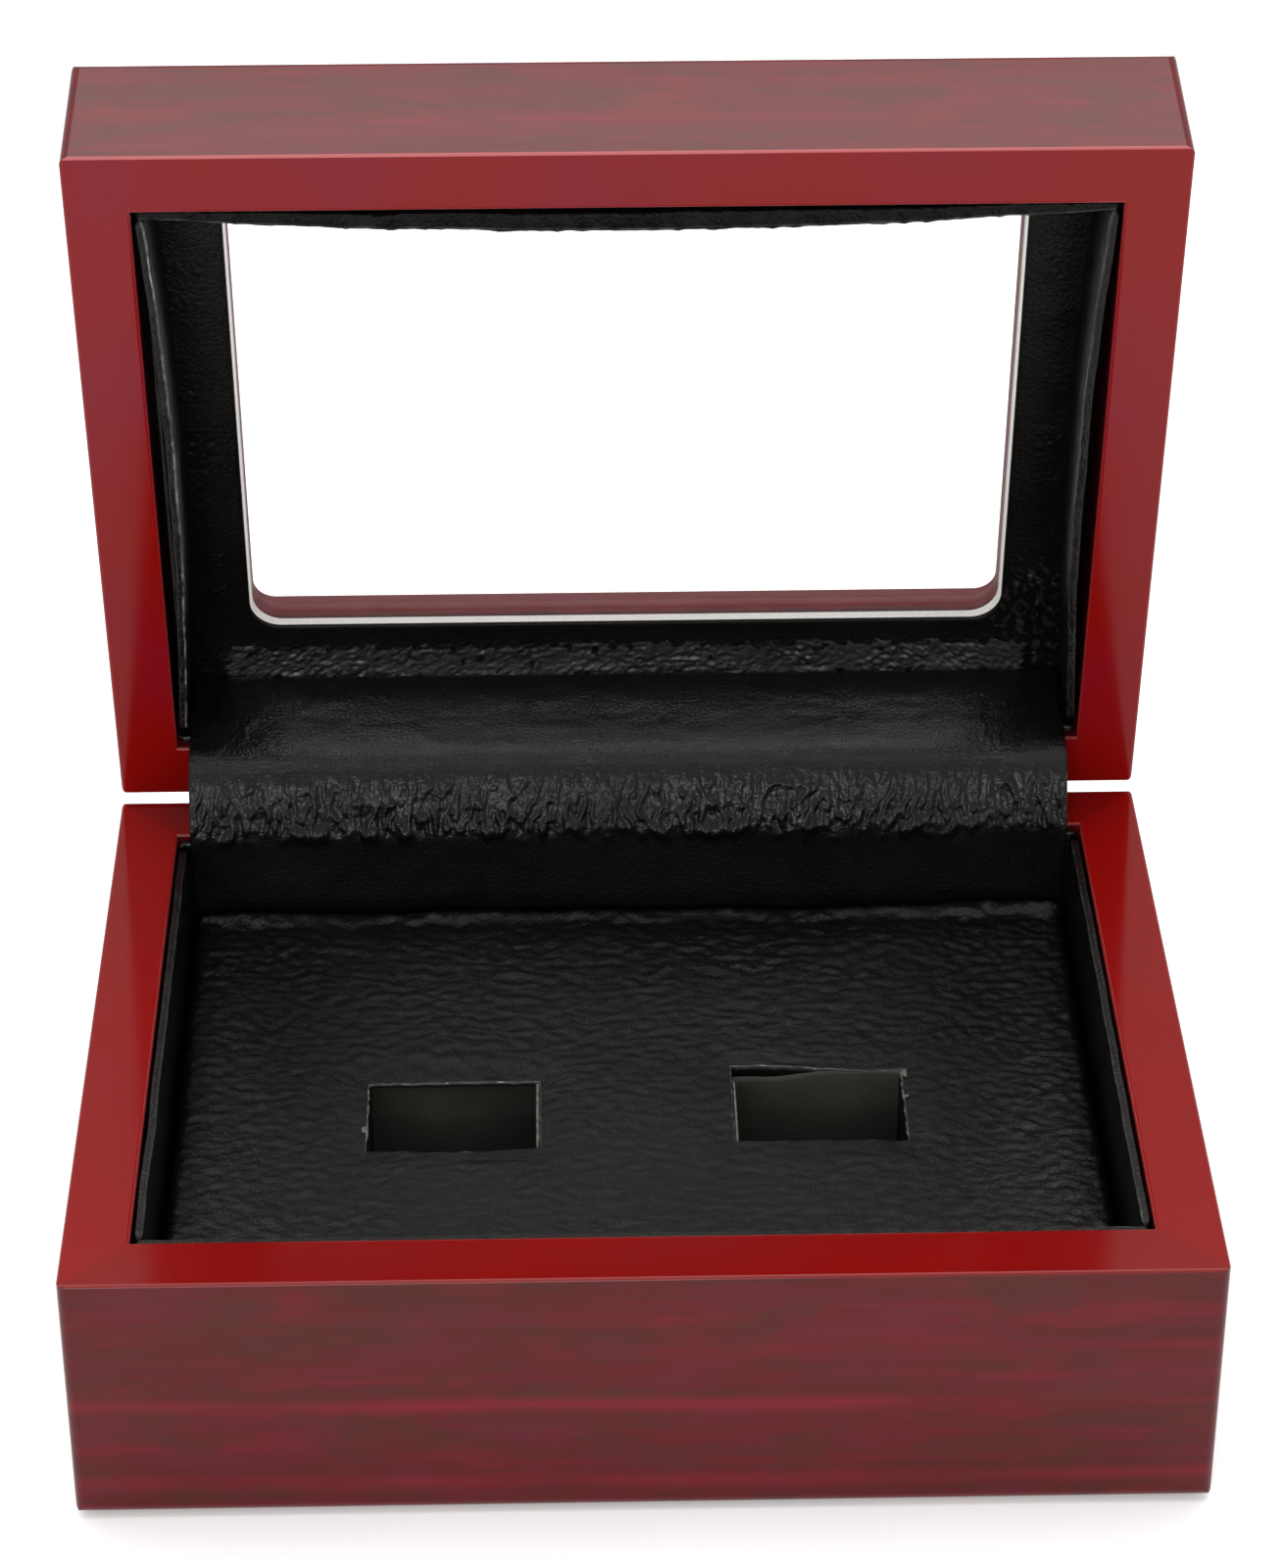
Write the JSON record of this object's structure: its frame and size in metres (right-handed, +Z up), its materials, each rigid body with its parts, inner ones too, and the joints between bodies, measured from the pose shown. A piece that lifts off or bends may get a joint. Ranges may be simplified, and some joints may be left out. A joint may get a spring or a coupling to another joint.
{
  "type": "ring display box",
  "caption": "Free-standing lacquered wooden ring display box with a hinged lid, a clear window in the lid, leatherette linings and a cushioned insert with flocked ring slots.",
  "frame": {"origin": "centre of the felt face under the base, which rests on the table", "axes": "+X to the right seen from the front, +Y towards the hinges at the back, +Z up; the lid stands open at rest"},
  "size_m": [0.16, 0.145, 0.1652],
  "materials": {
    "lacquered_wood": "gloss",
    "leatherette": "satin",
    "felt": "matte",
    "flock": "matte",
    "grey_board": "matte",
    "foam": "matte",
    "white_card": "matte",
    "clear_pane": "polished",
    "brass": "satin",
    "steel": "satin"
  },
  "bodies": {
    "base": {"base_front_wall": "lacquered_wood", "base_back_wall": "lacquered_wood", "base_left_wall": "lacquered_wood", "base_right_wall": "lacquered_wood", "base_floor": "lacquered_wood", "base_felt": "felt", "base_lining_front": "leatherette", "base_lining_back": "leatherette", "base_lining_left": "leatherette", "base_lining_right": "leatherette", "insert_board": "grey_board", "insert_foam": "foam", "insert_cover": "leatherette", "ring_slot_lining_left": "flock", "ring_slot_lining_right": "flock", "hinge_base_leaf_left": "brass", "hinge_base_leaf_right": "brass", "hinge_pin_left": "steel", "hinge_pin_right": "steel", "hinge_base_screws": "steel", "hinge_flap": "leatherette"},
    "lid": {"lid_front_wall": "lacquered_wood", "lid_back_wall": "lacquered_wood", "lid_left_wall": "lacquered_wood", "lid_right_wall": "lacquered_wood", "lid_top_panel": "lacquered_wood", "window_pane": "clear_pane", "window_liner_card": "white_card", "window_liner_skin": "leatherette", "lid_lining_front": "leatherette", "lid_lining_back": "leatherette", "lid_lining_left": "leatherette", "lid_lining_right": "leatherette", "hinge_lid_leaf_left": "brass", "hinge_lid_leaf_right": "brass", "hinge_lid_screws": "steel"}
  },
  "joints": [
    {"name": "lid_hinge", "type": "hinge", "parent": "base", "child": "lid", "pos_m": [0, 0.0608, 0.0422], "axis": [-1, 0, 0], "range_deg": [-81, 0], "deforming": ["hinge_flap"]}
  ]
}
